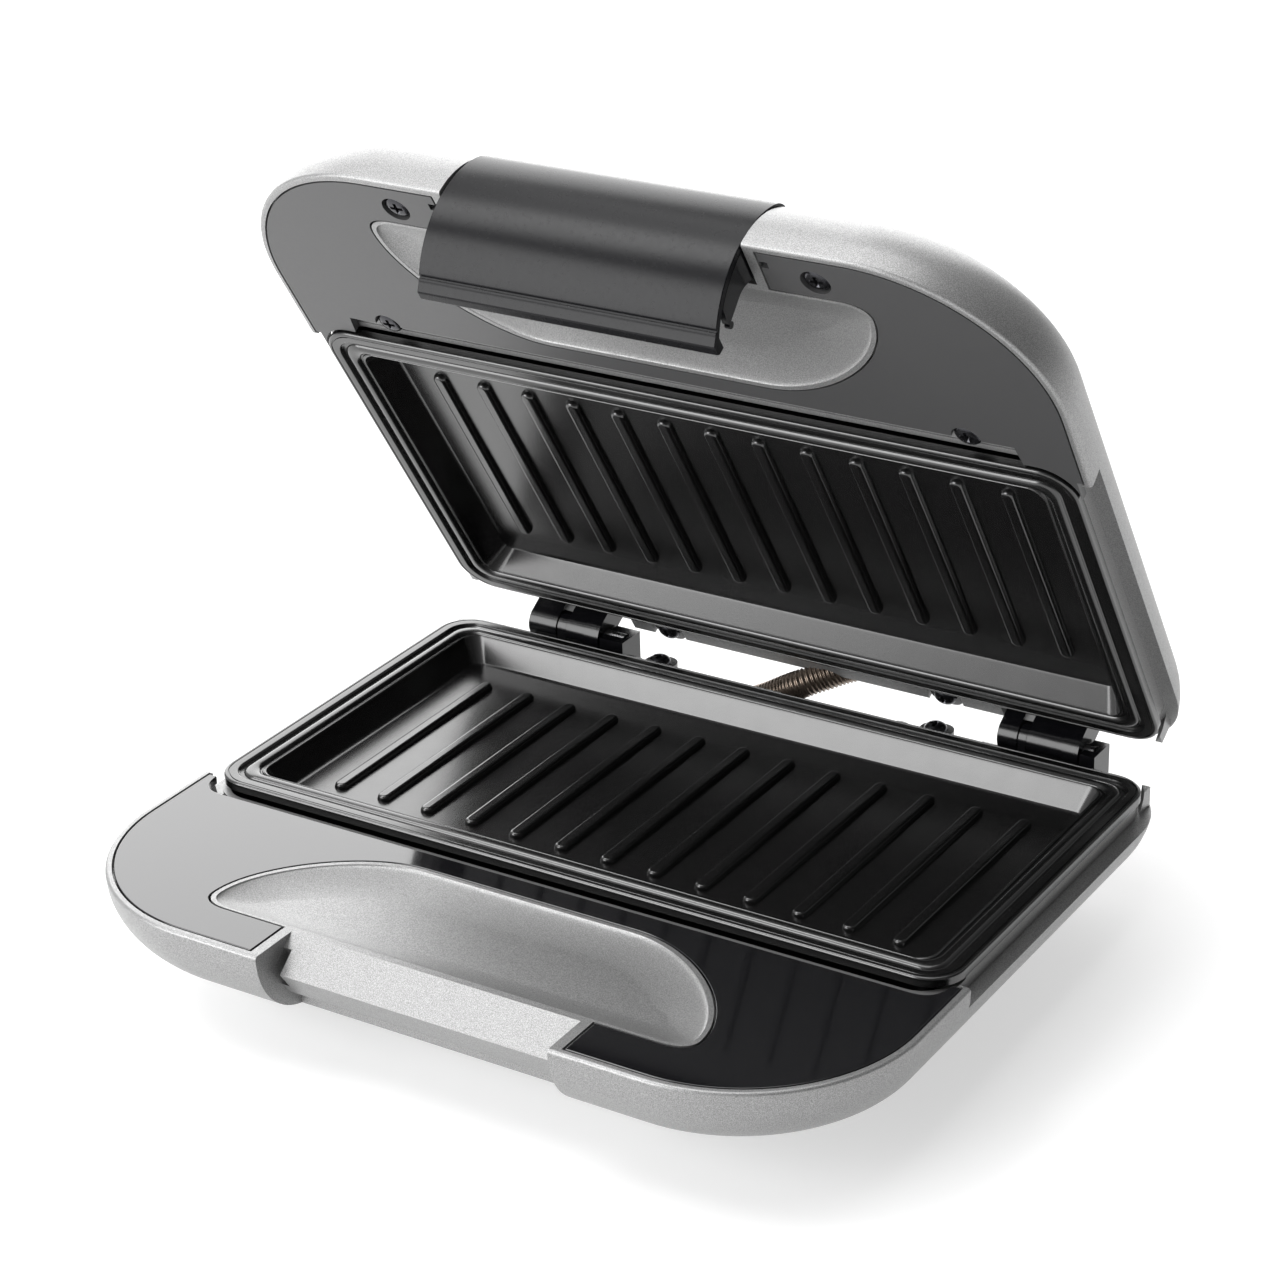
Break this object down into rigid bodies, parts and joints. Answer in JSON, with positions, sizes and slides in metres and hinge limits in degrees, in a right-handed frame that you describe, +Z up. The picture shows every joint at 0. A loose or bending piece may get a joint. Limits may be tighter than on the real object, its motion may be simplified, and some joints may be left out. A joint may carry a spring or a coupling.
{
  "type": "panini press",
  "caption": "Open two-plate panini press: ribbed rectangular plates in silver shells with gloss black trim, hinged lid and curved latch handle.",
  "frame": {"origin": "centre of the bounding box in X and Y, at the underside of the feet, with the lid open as pictured", "axes": "+Z up, front with the latch and finger scoops towards -Y, hinge axis along X at the rear"},
  "size_m": [0.239, 0.2236, 0.2147],
  "materials": {
    "silver_shell": "silver metallic paint with a fine speckle over moulded plastic",
    "gloss_trim": "piano black",
    "nonstick": "cast, with a semi-gloss black non-stick coat",
    "grip": "dark anthracite metallic satin",
    "black_plastic": "satin black nylon",
    "black_steel": "black nickel",
    "steel": "bright",
    "sheet": "mill",
    "ceramic": "unglazed",
    "rubber": "matte",
    "conduit": "fine wound coil",
    "red_lens": "clear tinted",
    "green_lens": "clear tinted"
  },
  "bodies": {
    "base": {"base_housing": "silver_shell", "base_deck": "gloss_trim", "lower_plate": "nonstick", "lower_element": "steel", "lower_reflector": "sheet", "thermostat": "ceramic", "terminal_block": "ceramic", "cord_gland": "black_plastic", "conduit_lower": "conduit", "foot_1": "rubber", "foot_2": "rubber", "foot_3": "rubber", "foot_4": "rubber", "hinge_bracket_l": "black_plastic", "hinge_bracket_r": "black_plastic", "lower_rear_screw_l": "black_steel", "lower_rear_screw_r": "black_steel", "lower_plate_screw_1": "steel", "lower_plate_screw_2": "steel"},
    "lid": {"lid_housing": "silver_shell", "lid_deck": "gloss_trim", "upper_plate": "nonstick", "upper_element": "steel", "upper_reflector": "sheet", "thermal_fuse": "ceramic", "conduit_upper": "conduit", "hinge_arm_l": "black_plastic", "hinge_arm_r": "black_plastic", "hinge_pin_l": "steel", "hinge_pin_r": "steel", "upper_rear_screw_l": "black_steel", "upper_rear_screw_r": "black_steel", "upper_plate_screw_1": "steel", "upper_plate_screw_2": "steel", "deck_screw_1": "black_steel", "deck_screw_2": "black_steel", "deck_screw_3": "black_steel", "deck_screw_4": "black_steel", "power_lens": "red_lens", "ready_lens": "green_lens"},
    "latch": {"latch_cover": "grip", "latch_body": "black_plastic", "latch_pin": "steel", "latch_spring": "steel"}
  },
  "joints": [
    {"name": "lid_hinge", "type": "hinge", "parent": "base", "child": "lid", "pos_m": [0, 0.09222, 0.0367], "axis": [-1, 0, 0], "range_deg": [-57.37, 45]},
    {"name": "latch_hinge", "type": "hinge", "parent": "lid", "child": "latch", "pos_m": [0, 0.00297, 0.20818], "axis": [-1, 0, 0], "range_deg": [0, 35], "stiffness_Nm_per_rad": 0.05, "springref_deg": -17.19}
  ]
}
